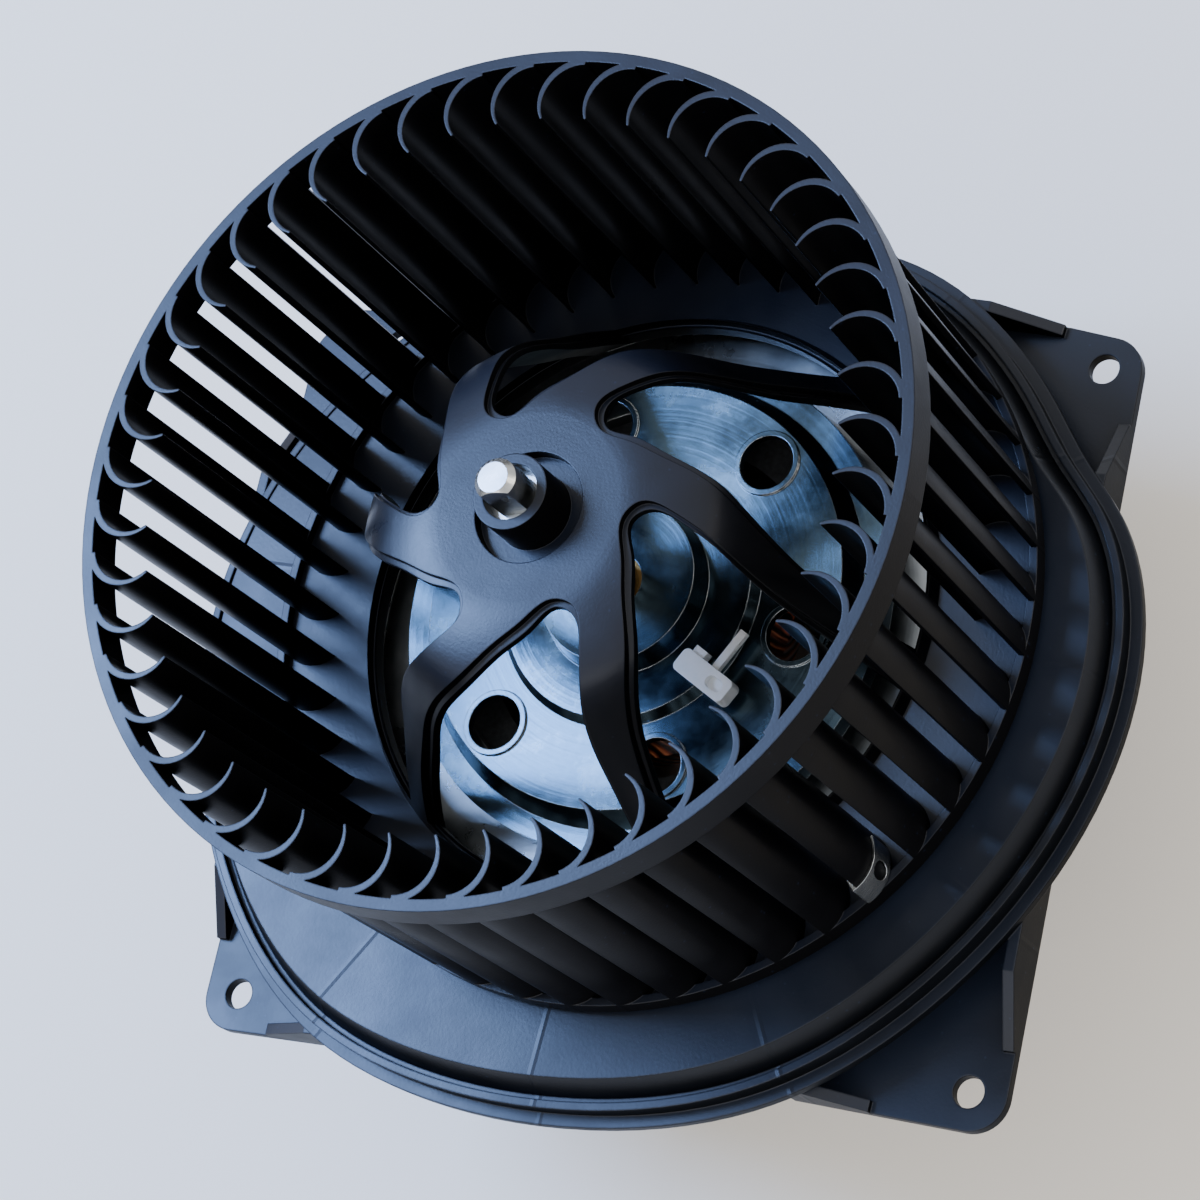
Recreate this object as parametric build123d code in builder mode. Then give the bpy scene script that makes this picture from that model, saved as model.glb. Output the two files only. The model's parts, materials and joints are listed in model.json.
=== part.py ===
from build123d import *
from math import cos, degrees, radians, sin
import os

# Blower motor assembly of a vehicle heater: a squirrel-cage wheel on the shaft of a
# permanent-magnet motor, which hangs in a moulded scroll-shaped flange.
# The origin is the centre of the flange's four screw holes, on the face of the tabs
# that seats on the heater case. +Z runs along the shaft towards the wheel's open end.
# All sizes are in millimetres.

# ---------------------------------------------------------------- driving dimensions
shaft_x, shaft_y = 4.7, 9.2        # the shaft's axis, from the centre of the screw holes
shaft_r = 4.0
running_clearance = 0.03           # shaft in its bearings, on the radius

# wheel
wheel_r = 80.0
wheel_bottom = 20.8                # base ring above the tabs, clear of the motor's screws
wheel_height = 73.6
rim_wall = 2.2
rim_band = 7.8                     # height of the solid band above the blades' slots
blade_count = 47
blade_reach = 13.2                 # how far a blade reaches in from the wheel's outside
blade_thickness = 1.2
blade_tip = 0.5                    # thickness at the blade's inner tip
blade_arc_r = 7.0
blade_turn = 3.0                   # turn of the first blade from +Y, in degrees
base_thickness = 2.4
base_band = 4.4
base_band_wall = 1.6
draft = 1.6                        # the base ring is this much smaller in radius
eye_r = 57.0                       # inner edge of the base ring
hub_face_drop = 20.0               # hub face below the rim's top
hub_thickness = 2.8
window_lip = 1.0                   # step along the windows' edges
spoke_count = 6
window_tip_r = 20.0                # where the windows between the spokes begin
window_turn = 62.0                 # turn of the first window's tip from +X, in degrees
boss_r = 7.2
boss_drop = 12.4                   # boss end below the rim's top
boss_length = 24.0
recess_r = 10.6
recess_depth = 2.6
insert_r = 5.3
insert_drop = 3.2                  # insert below the boss end
shaft_end_drop = 5.6               # shaft end below the rim's top
shaft_flat = 1.0                   # depth of the drive flat
flat_turn = -80.0                  # way the flat faces, from +X, in degrees
shaft_chamfer = 1.1
flat_length = 27.0
clip_sheet = 0.5
clip_height = 8.0

# flange
hole_spacing_x = 156.0
hole_spacing_y = 141.0
hole_r = 3.0
tab_margin = 7.5                   # from a hole's centre to the tab's edges
tab_corner_r = 7.0
ear_extra = 12.5                   # the tab beside the widest scroll reaches this much further
tab_thickness = 2.4
wall = 2.4                         # moulded wall of the flange
lip_height = 10.4                  # top of the outer lip above the tabs
lip_thickness = 2.0
lip_overhang = 8.6                 # the lip stands out from the skirt below it
deck_height = 18.4                 # top of the deck above the tabs
deck_inset = 7.5                   # deck edge inside the lip
ledge_height = 12.8
ledge_inset = 5.0
rib_inset, rib_width, rib_height = 2.4, 1.6, 1.6
gusset_wall = 2.2
gusset_slope = 13.0                # length over which a gusset runs down to its tab
well_r = 73.5                      # sunk floor under the wheel
floor_level = 13.0
sleeve_clearance = 3.0             # flange's sleeve around the motor can
sleeve_bottom = -12.0
stiffener_count = 12

# motor
can_r = 43.0
can_wall = 2.5
can_bottom = -54.0
can_top = 23.4
can_rim_thickness = 1.4
plate_sheet = 1.4
plate_level = 29.6                 # top of the plate where the vents are
vent_count = 6
vent_ring_r = 35.4
vent_r = 5.4
vent_lip = 0.5                     # rim drawn up round each vent
vent_turn = 51.0                   # turn of the first vent from +X, in degrees
gasket_thickness = 1.4
gasket_r = 60.0
ring_sheet = 1.2
ear_r = 72.4
screw_ring_r = 68.2
screw_turn = 14.8
peg_turn = -1.1
screw_r = 1.6
screw_head_r, screw_head_height = 3.2, 2.4
bearing_r = 8.4
bearing_length = 8.0
front_bearing_level = 31.0
rear_bearing_level = -56.0
air_gap = 0.9
magnet_thickness = 6.6
magnet_count = 4
magnet_span = 66.0
magnet_bottom, magnet_top = -22.0, 20.0
core_bottom, core_top = -18.0, 16.0
slot_count = 12
liner = 0.4
commutator_r = 12.0
commutator_bottom, commutator_top = -45.0, -31.0
brush_gap = 0.3
brush_width, brush_height, brush_length = 6.2, 7.6, 12.5
tube_sheet = 0.6
card_top = -42.0
card_thickness = 2.2
terminal_turn = 135.0

# The flange's lip, as its distance from the shaft's axis at each angle: the scroll of
# the heater case, tight past its tongue at about 50 degrees and widening clockwise.
lip_outline = {
    70: 84.5, 50: 85.3, 36: 85.2, 27: 86.2, 18: 90.4, 5: 94.0, -20: 94.8, -45: 95.2, -65: 97.0,
    -90: 98.2, -108: 101.4, -124: 105.0, -150: 105.0, -180: 103.6, -206: 98.0,
    -230: 91.5, -260: 86.5,
}

# ---------------------------------------------------------------- levels worked out
wheel_top = wheel_bottom + wheel_height
hub_face = wheel_top - hub_face_drop
boss_top = wheel_top - boss_drop
boss_bottom = boss_top - boss_length
insert_top = boss_top - insert_drop
shaft_top = wheel_top - shaft_end_drop
flat_bottom = shaft_top - flat_length
base_r = wheel_r - draft
pitch = 360 / blade_count
bore_r = shaft_r + running_clearance
can_inner_r = can_r - can_wall
can_floor = can_bottom + can_wall
can_rim_r = can_r + 4.8
plate_r = can_rim_r + 1.6
magnet_inner_r = can_inner_r - magnet_thickness
core_r = magnet_inner_r - air_gap
slot_end_r = core_r - 3.4          # bottom of the winding slots' mouths
winding_r = core_r - 2.8
card_r = can_inner_r - 1.0
terminal_ring_r = can_inner_r - 12.5
ring_bottom = floor_level + gasket_thickness
ring_top = ring_bottom + ring_sheet
sleeve_r = can_r + sleeve_clearance
tube_height = brush_height + 2 * tube_sheet + 0.2
tube_width = brush_width + 2 * tube_sheet + 0.2
brush_level = card_top + tube_height / 2
brush_face_r = commutator_r + brush_gap
tube_start_r = brush_face_r + 1.8
tube_end_r = brush_face_r + brush_length + 6.0
pocket_bottom = rear_bearing_level - bearing_length / 2
rear_washer = rear_bearing_level + bearing_length / 2 + 0.3
front_washer = front_bearing_level - bearing_length / 2 - 0.3
washer_thickness = 0.8
snap_thickness = 0.9
groove_r = shaft_r - 0.5

shaft_axis = Axis((shaft_x, shaft_y, 0), (0, 0, 1))
section = Plane(origin=(shaft_x, shaft_y, 0), x_dir=(1, 0, 0), z_dir=(0, -1, 0))


def level(height):
    """Plane square to the shaft, centred on its axis, at a height above the tabs."""
    return Plane(origin=(shaft_x, shaft_y, height))


def polar(radius, angle):
    """Point at a radius and an angle in degrees, about the centre of the sketch."""
    return (radius * cos(radians(angle)), radius * sin(radians(angle)))


def polygon(*corners):
    """Face with straight sides through its corners."""
    with BuildSketch() as face:
        with BuildLine():
            Polyline(*corners, close=True)
        make_face()
    return face.sketch


def sector(inner, outer, start, end):
    """Part of a ring between two radii and two angles."""
    middle = (start + end) / 2
    with BuildSketch() as face:
        with BuildLine():
            ThreePointArc(polar(outer, start), polar(outer, middle), polar(outer, end))
            Line(polar(outer, end), polar(inner, end))
            ThreePointArc(polar(inner, end), polar(inner, middle), polar(inner, start))
            Line(polar(inner, start), polar(outer, start))
        make_face()
    return face.sketch


def slab(outline, bottom, top, mode=Mode.ADD, angle=0.0):
    """Straight piece over an outline, from one height to another, turned on the shaft."""
    turned = outline.rotate(Axis.Z, angle)
    extrude(turned.moved(level(bottom).location), amount=top - bottom, dir=(0, 0, 1), mode=mode)


def slabs(outline, count, start, bottom, top, mode=Mode.ADD):
    """The same straight piece a number of times round the shaft."""
    for number in range(count):
        slab(outline, bottom, top, mode, start + 360 / count * number)


def tube(outer, inner, bottom, top, mode=Mode.ADD):
    """Tube about the shaft's axis; an inner radius of 0 makes a rod."""
    with BuildSketch(level(bottom)) as ring:
        Circle(outer)
        if inner:
            Circle(inner, mode=Mode.SUBTRACT)
    extrude(ring.sketch, amount=top - bottom, dir=(0, 0, 1), mode=mode)


def turn(outline, mode=Mode.ADD):
    """Turned solid about the shaft's axis, from an outline of (radius, height)."""
    revolve(outline.moved(section.location), axis=shaft_axis, mode=mode)


def rod(outer, position, bottom, top, inner=0.0, mode=Mode.ADD):
    """Rod or short tube parallel to the shaft, at a place measured from its axis."""
    with BuildSketch(level(bottom)) as disc:
        with Locations(position):
            Circle(outer)
            if inner:
                Circle(inner, mode=Mode.SUBTRACT)
    extrude(disc.sketch, amount=top - bottom, dir=(0, 0, 1), mode=mode)


def finish(builder, name):
    """Label a finished piece and write its STEP file."""
    builder.part.label = name
    export_step(builder.part, f"parts/{name}.step")


os.makedirs("parts", exist_ok=True)


# ---------------------------------------------------------------- blower wheel
def blade_point(radius, angle):
    """Point about the centre of a blade's arc, for the blade at the wheel's +Y side."""
    away = polar(radius, angle)
    return (blade_arc_r - 1.3 + away[0], wheel_r - blade_reach + 3.8 + away[1])


def blade_strip(inner, outer, start, end, tip):
    """Strip along a blade between two radii of its arc, its inner end thinned to a tip."""
    outer_points = [blade_point(outer, angle) for angle in (end, (start + end) / 2, start)]
    inner_points = [blade_point(inner, angle) for angle in (start, (start + end) / 2)]
    inner_points.append(blade_point(outer - tip, end))
    with BuildSketch() as face:
        with BuildLine():
            ThreePointArc(*outer_points)
            Line(outer_points[-1], inner_points[0])
            ThreePointArc(*inner_points)
            ThreePointArc(inner_points[-1], blade_point(outer - tip / 2, end + 2), outer_points[0])
        make_face()
    return face.sketch


blade_outer = blade_arc_r + blade_thickness / 2
blade_inner = blade_arc_r - blade_thickness / 2


def blade_outline():
    """Section of one forward-curved blade: a crescent from the rim in to a thin tip."""
    return blade_strip(blade_inner, blade_outer, 84, 211, blade_tip)


def window_outline(grow):
    """One window between two spokes, grown all round.

    Both edges sweep clockwise on their way out from the tip, the leading one faster,
    which leaves a spoke that narrows from the hub towards the base ring.
    """
    tip = window_tip_r - grow
    far = eye_r + grow
    lead = [(0.06, -19.0), (0.17, -33.0), (0.37, -46.5), (0.58, -59.5), (0.74, -64.5), (1.0, -67.0)]
    trail = [(0.07, 1.6), (0.24, -1.8), (0.37, -6.0), (0.58, -12.0), (0.76, -13.6), (1.0, -15.0)]

    def edge(shares, side):
        points = []
        for share, angle in shares:
            radius = tip + share * (far - tip)
            points.append(polar(radius, angle + side * degrees(grow / radius)))
        return points

    lead_points = edge(lead, -1)
    trail_points = edge(trail, 1)
    middle = (lead[-1][1] + trail[-1][1]) / 2
    with BuildSketch() as face:
        with BuildLine():
            Spline(*reversed(trail_points), polar(tip, -4.5), *lead_points)
            ThreePointArc(lead_points[-1], polar(far, middle), trail_points[-1])
        make_face()
    return face.sketch


def dome_outline(upper_share, lower_share):
    """Section of the dished hub between two shares of its wall, 0 above and 1 below."""
    profile = [(18.0, 0.0), (27.0, 1.4), (34.0, 4.4), (39.0, 10.6), (44.0, 20.6)]
    foot_z = wheel_bottom + base_thickness

    def surface(share):
        points = []
        for radius, fall in profile:
            across = hub_thickness * (1 + 1.15 * (radius / 44) ** 6)
            points.append((radius, hub_face - fall - share * across))
        points.append((eye_r + 2.2 - share * 2.2, foot_z - share * base_thickness))
        return points

    upper, lower = surface(upper_share), surface(lower_share)
    with BuildSketch() as face:
        with BuildLine():
            Line((0, upper[0][1]), upper[0])
            top = Spline(*upper, tangents=((1, 0), (0.46, -1)))
            Line(upper[-1], lower[-1])
            Spline(*lower, tangents=((1, 0), (0.46, -1)))
            Line(lower[0], (0, lower[0][1]))
            Line((0, lower[0][1]), (0, upper[0][1]))
        make_face()
    return face.sketch


with BuildPart() as hub_upper:
    turn(dome_outline(0.0, 0.55))
    slabs(window_outline(window_lip), spoke_count, window_turn, wheel_bottom - 1, wheel_top,
          Mode.SUBTRACT)

with BuildPart() as hub_lower:
    turn(dome_outline(0.5, 1.0))
    slabs(window_outline(0.0), spoke_count, window_turn, wheel_bottom - 1, wheel_top, Mode.SUBTRACT)

with BuildPart() as blower_wheel:
    # solid band at the rim, base ring with its short outer band
    tube(wheel_r, wheel_r - rim_wall, wheel_top - rim_band, wheel_top)
    tube(base_r, eye_r, wheel_bottom, wheel_bottom + base_thickness)
    tube(base_r, base_r - base_band_wall, wheel_bottom, wheel_bottom + base_band)
    # the blades run from the base ring right up to the rim's top face
    with BuildSketch(level(wheel_bottom)):
        with PolarLocations(0, blade_count, start_angle=blade_turn):
            add(blade_outline())
    extrude(amount=wheel_height)
    # dished hub with its spokes, the recess in its middle and the boss in the recess
    add(hub_upper.part)
    add(hub_lower.part)
    tube(recess_r + 3.2, 0, hub_face - recess_depth - hub_thickness, hub_face - 1.0)
    tube(recess_r, 0, hub_face - recess_depth, hub_face + 1, mode=Mode.SUBTRACT)
    tube(boss_r, 0, boss_bottom, boss_top)
    tube(insert_r, 0, boss_bottom - 1, boss_top + 1, mode=Mode.SUBTRACT)
finish(blower_wheel, "blower_wheel")


# ---------------------------------------------------------------- shaft and hub insert
def flatted(radius):
    """Round section with the shaft's drive flat."""
    with BuildSketch() as face:
        Circle(radius)
        with Locations((0, shaft_r - shaft_flat + radius)):
            Rectangle(4 * radius, 2 * radius, mode=Mode.SUBTRACT)
    return face.sketch


front_groove = front_washer - washer_thickness - snap_thickness
rear_groove = rear_washer + washer_thickness
shaft_bottom = pocket_bottom - 0.8
with BuildPart() as motor_shaft:
    turn(polygon(
        (0, shaft_bottom), (shaft_r - 0.6, shaft_bottom), (shaft_r, shaft_bottom + 0.6),
        (shaft_r, rear_groove), (groove_r, rear_groove), (groove_r, rear_groove + snap_thickness),
        (shaft_r, rear_groove + snap_thickness), (shaft_r, front_groove), (groove_r, front_groove),
        (groove_r, front_groove + snap_thickness), (shaft_r, front_groove + snap_thickness),
        (shaft_r, shaft_top - shaft_chamfer), (shaft_r - shaft_chamfer, shaft_top), (0, shaft_top),
    ))
    flat = polygon((-9, shaft_r - shaft_flat), (9, shaft_r - shaft_flat), (9, 9), (-9, 9))
    slab(flat, flat_bottom, shaft_top + 1, Mode.SUBTRACT, flat_turn - 90)
finish(motor_shaft, "motor_shaft")

with BuildPart() as hub_insert:
    tube(insert_r, 0, boss_bottom, insert_top)
    tube(shaft_r, 0, boss_bottom - 1, flat_bottom, mode=Mode.SUBTRACT)
    slab(flatted(shaft_r), flat_bottom, insert_top + 1, Mode.SUBTRACT, flat_turn - 90)
finish(hub_insert, "hub_insert")

# ---------------------------------------------------------------- balance clips
clip_places = ((17, 25.5), (27, 32.0))     # which blade, and the clip's lower edge
clip_gap = 0.03
leaf_gap = 0.35             # the clip's inner leaf stands off the blade's hollow side
with BuildPart() as balance_clips:
    for blade, bottom in clip_places:
        turned = blade_turn - pitch * blade
        outside = blade_outer + clip_gap
        inside = blade_inner - leaf_gap
        leaves = (
            blade_strip(outside, outside + clip_sheet, 81.8, 158, clip_sheet),
            blade_strip(inside - clip_sheet, inside, 81.8, 140, clip_sheet),
            blade_strip(inside - clip_sheet, outside + clip_sheet, 78.5, 81.8,
                        blade_thickness + clip_gap + leaf_gap + 2 * clip_sheet),
        )
        for leaf in leaves:
            slab(leaf, bottom, bottom + clip_height, angle=turned)
        middle = Vector(*blade_point(outside - 0.2, 121), 0).rotate(Axis.Z, turned)
        facing = polar(1, 121 + turned)
        hole = Plane(
            origin=(shaft_x + middle.X, shaft_y + middle.Y, bottom + clip_height / 2),
            x_dir=(0, 0, 1), z_dir=(facing[0], facing[1], 0),
        )
        with BuildSketch(hole):
            Ellipse(2.9, 1.7)
        extrude(amount=1.6, mode=Mode.SUBTRACT)
finish(balance_clips, "balance_clips")

# ---------------------------------------------------------------- armature
def slot_outline(inset):
    """Winding slot of the armature core, pointing along +X, in from its walls."""
    return polygon(
        (17.0 + inset, -(2.4 - inset)), (slot_end_r - inset, -(5.4 - inset)),
        (slot_end_r - inset, 5.4 - inset), (17.0 + inset, 2.4 - inset),
    )


with BuildPart() as armature_core:
    tube(core_r, shaft_r, core_bottom, core_top)
    slabs(slot_outline(0.0), slot_count, 0, core_bottom - 1, core_top + 1, Mode.SUBTRACT)
    mouth_start = slot_end_r - 0.6
    mouth = polygon((mouth_start, -1.3), (core_r + 1, -1.3), (core_r + 1, 1.3), (mouth_start, 1.3))
    slabs(mouth, slot_count, 0, core_bottom - 1, core_top + 1, Mode.SUBTRACT)
finish(armature_core, "armature_core")

with BuildPart() as slot_insulation:
    slabs(slot_outline(0.0), slot_count, 0, core_bottom, core_top)
    slabs(slot_outline(liner), slot_count, 0, core_bottom - 1, core_top + 1, Mode.SUBTRACT)
finish(slot_insulation, "slot_insulation")

with BuildPart() as armature_winding:
    slabs(slot_outline(liner), slot_count, 0, core_bottom, core_top)
    turn(polygon((10.0, core_top), (winding_r, core_top), (winding_r, core_top + 5.0),
                 (winding_r - 4.2, core_top + 8.0), (14.0, core_top + 8.0), (10.0, core_top + 5.0)))
    turn(polygon((10.0, core_bottom), (winding_r, core_bottom), (winding_r, core_bottom - 5.0),
                 (winding_r - 4.2, core_bottom - 8.5), (14.0, commutator_top), (10.0, commutator_top)))
finish(armature_winding, "armature_winding")

body_r = commutator_r - 2.6
riser_r = commutator_r + 1.4
with BuildPart() as commutator_body:
    tube(body_r, shaft_r, commutator_bottom - 1.0, commutator_top + 1.0)
finish(commutator_body, "commutator_body")

with BuildPart() as commutator_bars:
    bar = sector(body_r, commutator_r, -13.2, 13.2)
    slabs(bar, slot_count, 15, commutator_bottom, commutator_top)
    riser = sector(body_r, riser_r, -6.0, 6.0)
    slabs(riser, slot_count, 15, commutator_top - 1.4, commutator_top)
finish(commutator_bars, "commutator_bars")

with BuildPart() as thrust_washers:
    tube(7.2, shaft_r, front_washer - washer_thickness, front_washer)
    tube(7.2, shaft_r, rear_washer, rear_washer + washer_thickness)
finish(thrust_washers, "thrust_washers")

with BuildPart() as snap_rings:
    for bottom in (front_groove, rear_groove):
        tube(6.2, groove_r, bottom, bottom + snap_thickness)
        slab(polygon((0, -1.5), (8, -2.1), (8, 2.1), (0, 1.5)), bottom - 1, bottom + 2, Mode.SUBTRACT)
finish(snap_rings, "snap_rings")

# ---------------------------------------------------------------- mounting flange
def scroll(inset):
    """Outline of the scroll, in from the lip's edge."""
    points = [polar(distance - inset, angle) for angle, distance in lip_outline.items()]
    with BuildSketch() as face:
        with BuildLine():
            Spline(*points, periodic=True)
        make_face()
    return face.sketch


def step(inset_low, low, inset_high, high, mode=Mode.ADD):
    """Sloped step of the flange between two outlines."""
    lower = scroll(inset_low).moved(level(low).location)
    upper = scroll(inset_high).moved(level(high).location)
    loft([lower.face(), upper.face()], mode=mode)


def gusset(start, end, side):
    """Upright rib along a tab's edge, from under the lip, sloping down to the tab.

    It is given by its two ends, measured from the screw pattern's centre.
    """
    rise = lip_height - lip_thickness + 0.1 + tab_thickness / 2
    along = Vector(end[0] - start[0], end[1] - start[1], 0)
    upright = Plane(origin=(start[0], start[1], -tab_thickness / 2), x_dir=along,
                    z_dir=(along.Y * side, -along.X * side, 0))
    drop = 1 if upright.y_dir.Z > 0 else -1
    with BuildSketch(upright) as face:
        with BuildLine():
            Polyline((0, 0), (along.length, 0), (along.length, drop * tab_thickness),
                     (along.length - gusset_slope, drop * rise), (0, drop * rise), close=True)
        make_face()
    extrude(face.sketch, amount=-gusset_wall)


half_x = hole_spacing_x / 2
half_y = hole_spacing_y / 2
edge_x = half_x + tab_margin
edge_y = half_y + tab_margin
# each tab: its outline, and its two gussets as (start, end, side)
tabs = (
    (((40, 20), (edge_x, 20), (edge_x, edge_y - 2.2), (70.0, 78.8), (44.0, 81.5), (40, 74)),
     (((edge_x, 28), (edge_x, 59), 1), ((44.0, 81.5), (69.0, 78.9), -1))),
    (((40, -20), (edge_x, -20), (edge_x, -edge_y), (44.0, -edge_y + 2.0), (30, -60)),
     (((edge_x, -20), (edge_x, -62.5), -1), ((44.5, -edge_y + 1.95), (60.0, -edge_y + 1.2), 1))),
    (((-40, -20), (-edge_x, -20), (-edge_x, -edge_y), (-49.0, -edge_y), (-30, -60)),
     (((-edge_x, -24), (-edge_x, -60), 1), ((-49.5, -edge_y), (-69.0, -edge_y), -1))),
    (((-40, 10), (-edge_x - ear_extra, 10), (-edge_x - ear_extra, edge_y - 7), (-edge_x - 3, edge_y),
      (-52.0, edge_y), (-40, 60)),
     (((-edge_x - ear_extra, 11), (-edge_x - ear_extra, 50), -1),
      ((-52.0, edge_y), (-70.0, edge_y), 1))),
)

with BuildPart() as mounting_flange:
    # corner tabs with their gussets
    for corners, ribs in tabs:
        tab = polygon(*corners).face()
        outermost = max(tab.vertices(), key=lambda corner: abs(corner.X) + abs(corner.Y))
        tab = tab.fillet_2d(tab_corner_r, [outermost])
        extrude(tab.moved(Location((0, 0, -tab_thickness))), amount=tab_thickness, dir=(0, 0, 1))
        for start, end, side in ribs:
            gusset(start, end, side)
    # skirt, lip, ledge, deck
    slab(scroll(lip_overhang), -tab_thickness, lip_height - lip_thickness + 0.1)
    slab(scroll(0.0), lip_height - lip_thickness, lip_height)
    slab(scroll(rib_inset), lip_height - 0.1, ledge_height)
    step(ledge_inset, ledge_height, deck_inset, deck_height)
    # hollow underside
    hollow = lip_overhang + wall
    slab(scroll(hollow), -tab_thickness - 1, ledge_height - wall, Mode.SUBTRACT)
    step(ledge_inset + wall, ledge_height - wall, deck_inset + wall, deck_height - wall, Mode.SUBTRACT)
    # sunk floor under the wheel, with the sleeve round the motor
    tube(well_r + wall, 0, floor_level - wall, deck_height - wall / 2)
    tube(well_r, 0, floor_level, deck_height + 5, mode=Mode.SUBTRACT)
    tube(sleeve_r + wall, 0, sleeve_bottom, floor_level - wall / 2)
    # stiffening ribs under the floor
    with BuildSketch(level(2.0)):
        with PolarLocations(70, stiffener_count, start_angle=27):
            Rectangle(60, 2.0)
        add(scroll(lip_overhang + wall / 2), mode=Mode.INTERSECT)
        Circle(sleeve_r + wall / 2, mode=Mode.SUBTRACT)
    extrude(amount=ledge_height - wall - 1.95)
    # bosses for the motor's screws and locating pegs
    for number in range(3):
        boss_place = polar(screw_ring_r, screw_turn + 120 * number)
        rod(4.4, boss_place, 2.0, ring_bottom)
        rod(screw_r, boss_place, 3.0, ring_bottom + 1, mode=Mode.SUBTRACT)
        peg_place = polar(screw_ring_r, peg_turn + 120 * number)
        rod(3.2, peg_place, floor_level - 0.5, ring_bottom)
        rod(2.0, peg_place, ring_bottom - 0.5, ring_top + 1.4)
    tube(sleeve_r, 0, sleeve_bottom - 1, floor_level + 1, mode=Mode.SUBTRACT)
    # sealing rib on the ledge
    slab(scroll(rib_inset) - scroll(rib_inset + rib_width), ledge_height - 0.1,
         ledge_height + rib_height)
    # screw holes of the tabs
    with BuildSketch(Plane.XY.offset(-tab_thickness - 1)):
        with Locations((half_x, half_y), (half_x, -half_y), (-half_x, -half_y), (-half_x, half_y)):
            Circle(hole_r)
    extrude(amount=tab_thickness + 2, mode=Mode.SUBTRACT)
finish(mounting_flange, "mounting_flange")

with BuildPart() as motor_gasket:
    tube(gasket_r, sleeve_r + 0.6, floor_level, ring_bottom)
finish(motor_gasket, "motor_gasket")

# ---------------------------------------------------------------- motor, outside
with BuildPart() as motor_ring:
    with BuildSketch(level(ring_bottom)):
        with PolarLocations(62, 3, start_angle=(screw_turn + peg_turn) / 2):
            Rectangle(30, 27)
        Circle(ear_r, mode=Mode.INTERSECT)
        Circle(gasket_r)
        Circle(can_r, mode=Mode.SUBTRACT)
        with PolarLocations(screw_ring_r, 3, start_angle=screw_turn):
            Circle(screw_r + 0.5, mode=Mode.SUBTRACT)
        with PolarLocations(screw_ring_r, 3, start_angle=peg_turn):
            Circle(2.2, mode=Mode.SUBTRACT)
    extrude(amount=ring_sheet)
    tube(can_r + ring_sheet, can_r, ring_bottom, ring_top + 3.6)
finish(motor_ring, "motor_ring")

with BuildPart() as motor_screws:
    for number in range(3):
        place = polar(screw_ring_r, screw_turn + 120 * number)
        rod(screw_r - 0.05, place, 4.0, ring_top + 0.5)
        rod(screw_head_r, place, ring_top, ring_top + screw_head_height)
    fillet(motor_screws.edges().group_by(Axis.Z)[-1], 1.0)
    for number in range(3):
        place = polar(screw_ring_r, screw_turn + 120 * number)
        with BuildSketch(level(ring_top + screw_head_height)):
            with Locations(place):
                Rectangle(3.4, 0.8)
                Rectangle(0.8, 3.4)
        extrude(amount=-1.3, mode=Mode.SUBTRACT)
finish(motor_screws, "motor_screws")

with BuildPart() as motor_can:
    tube(can_r, can_inner_r, can_bottom, can_top)
    tube(can_rim_r, can_inner_r, can_top - can_rim_thickness, can_top)
    tube(can_r, 0, can_bottom, can_floor)
    tube(bearing_r + 6.6, 0, pocket_bottom - 4.4, can_bottom + 0.5)
    tube(bearing_r + 4.2, 0, pocket_bottom, can_floor + 1, mode=Mode.SUBTRACT)
    tube(bearing_r - 2.0, 0, pocket_bottom - 2.2, pocket_bottom + 1, mode=Mode.SUBTRACT)
    rod(7.0, polar(terminal_ring_r, terminal_turn), can_bottom - 1, can_floor + 1, mode=Mode.SUBTRACT)
    # cooling slots beside the brushes
    for number in range(4):
        cool = sector(can_inner_r - 1, can_r + 1, 33, 57)
        slab(cool, can_floor + 2, can_floor + 9, Mode.SUBTRACT, 90 * number)
finish(motor_can, "motor_can")

sheet = plate_sheet
top = can_top + sheet
pocket_level = front_bearing_level + bearing_length / 2
with BuildPart() as end_plate:
    turn(polygon(
        (plate_r, can_top - can_rim_thickness - sheet), (plate_r, top), (45.0, top),
        (42.4, plate_level), (26.6, plate_level), (25.2, plate_level + 2.0),
        (16.8, plate_level + 2.0), (15.8, pocket_level + sheet), (bore_r + 1.2, pocket_level + sheet),
        (bore_r + 1.2, pocket_level), (14.5, pocket_level), (15.4, plate_level + 0.6),
        (24.2, plate_level + 0.6), (25.6, plate_level - sheet), (41.4, plate_level - sheet),
        (43.9, can_top), (can_rim_r, can_top), (can_rim_r, can_top - can_rim_thickness),
        (can_rim_r - 2.2, can_top - can_rim_thickness),
        (can_rim_r - 2.2, can_top - can_rim_thickness - sheet),
    ))
    for number in range(vent_count):
        place = polar(vent_ring_r, vent_turn + 360 / vent_count * number)
        rod(vent_r + 1.1, place, plate_level - sheet, plate_level + vent_lip)
        rod(vent_r, place, can_top - 4, plate_level + 3, mode=Mode.SUBTRACT)
finish(end_plate, "end_plate")

# ---------------------------------------------------------------- bearings
def bearing(centre):
    """Self-aligning bush: a ball with both ends cut square and a bore for the shaft."""
    with BuildSketch() as face:
        Circle(bearing_r)
        with Locations((bore_r + 10, 0)):
            Rectangle(20, bearing_length, mode=Mode.INTERSECT)
    turn(face.sketch.moved(Location((0, centre, 0))))


with BuildPart() as front_bearing:
    bearing(front_bearing_level)
finish(front_bearing, "front_bearing")

with BuildPart() as rear_bearing:
    bearing(rear_bearing_level)
finish(rear_bearing, "rear_bearing")

with BuildPart() as bearing_retainers:
    tube(22.0, bearing_r + 0.05, plate_level - 0.6, plate_level + 0.6)
    tube(18.6, bearing_r + 0.05, can_floor, can_floor + 1.2)
finish(bearing_retainers, "bearing_retainers")

with BuildPart() as oil_felts:
    tube(14.2, bearing_r + 0.05, front_bearing_level, pocket_level - 0.4)
    tube(bearing_r + 4.0, bearing_r + 0.05, rear_bearing_level - 3.0, rear_bearing_level + 2.0)
finish(oil_felts, "oil_felts")

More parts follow.
